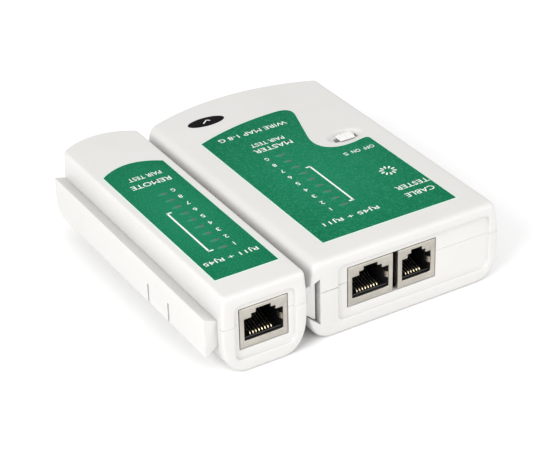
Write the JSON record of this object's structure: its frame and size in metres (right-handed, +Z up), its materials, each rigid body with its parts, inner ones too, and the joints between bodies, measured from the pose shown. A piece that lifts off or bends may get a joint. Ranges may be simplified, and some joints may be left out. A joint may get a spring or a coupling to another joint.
{
  "type": "network cable tester",
  "caption": "Two-part network cable tester: a wide main unit with two modular jacks, an LED column and a slide switch, and a narrow far-end unit docked beside it on a dovetail.",
  "frame": {"origin": "under the middle of the two docked units, on the surface they stand on", "axes": "+Z up; -Y is the side with the main jacks; +X runs from the narrow unit to the wide one"},
  "size_m": [0.1038, 0.1104, 0.0275],
  "materials": {
    "case_plastic": "fine satin moulded ABS, off-white",
    "printed_film": "printed film, green with a fine texture",
    "black_sticker": "smooth black film",
    "jack_shield": "nickel-plated sheet, satin",
    "jack_insert": "black moulded plastic",
    "contact_gold": "gold-flashed spring wire",
    "board_fibre": "glass-fibre board with green solder mask",
    "led_lens": "clear tinted epoxy",
    "power_lens": "red tinted epoxy",
    "chip_epoxy": "moulded black epoxy",
    "steel": "zinc-plated steel",
    "resistor_ceramic": "tan lacquered ceramic",
    "battery_jacket": "printed metal jacket, dark",
    "red_wire": "soft insulation, red",
    "black_wire": "soft insulation, black",
    "knob_plastic": "moulded acetal, white"
  },
  "bodies": {
    "master": {"master_bottom_shell": "case_plastic", "master_top_shell": "case_plastic", "master_label": "printed_film", "oval_sticker": "black_sticker", "master_rj45_shield": "jack_shield", "master_rj45_housing": "jack_insert", "master_rj45_contacts": "contact_gold", "master_rj11_shield": "jack_shield", "master_rj11_housing": "jack_insert", "master_rj11_contacts": "contact_gold", "master_board": "board_fibre", "master_led_1": "led_lens", "master_led_2": "led_lens", "master_led_3": "led_lens", "master_led_4": "led_lens", "master_led_5": "led_lens", "master_led_6": "led_lens", "master_led_7": "led_lens", "master_led_8": "led_lens", "master_led_g": "led_lens", "power_led": "power_lens", "counter_chip": "chip_epoxy", "timer_chip": "chip_epoxy", "resistor_1": "resistor_ceramic", "resistor_2": "resistor_ceramic", "capacitor": "battery_jacket", "switch_body": "steel", "battery_9v": "battery_jacket", "battery_snap": "jack_insert", "battery_lead_red": "red_wire", "battery_lead_black": "black_wire", "master_screw_1": "steel", "master_screw_2": "steel", "master_screw_3": "steel", "master_screw_4": "steel"},
    "remote": {"remote_bottom_shell": "case_plastic", "remote_top_shell": "case_plastic", "remote_label": "printed_film", "remote_rj45_shield": "jack_shield", "remote_rj45_housing": "jack_insert", "remote_rj45_contacts": "contact_gold", "remote_rj11_shield": "jack_shield", "remote_rj11_housing": "jack_insert", "remote_rj11_contacts": "contact_gold", "remote_board": "board_fibre", "remote_led_1": "led_lens", "remote_led_2": "led_lens", "remote_led_3": "led_lens", "remote_led_4": "led_lens", "remote_led_5": "led_lens", "remote_led_6": "led_lens", "remote_led_7": "led_lens", "remote_led_8": "led_lens", "remote_led_g": "led_lens", "diode_1": "chip_epoxy", "diode_2": "chip_epoxy", "remote_screw_1": "steel", "remote_screw_2": "steel"},
    "battery_door": {"battery_door": "case_plastic"},
    "switch_knob": {"switch_knob": "knob_plastic"}
  },
  "joints": [
    {"name": "remote_slide", "type": "slide", "parent": "master", "child": "remote", "axis": [0, -1, 0], "range_m": [0, 0.104]},
    {"name": "switch_slide", "type": "slide", "parent": "master", "child": "switch_knob", "axis": [1, 0, 0], "range_m": [-0.002, 0.002]},
    {"name": "door_slide", "type": "slide", "parent": "master", "child": "battery_door", "axis": [0, 1, 0], "range_m": [0, 0.061]}
  ]
}
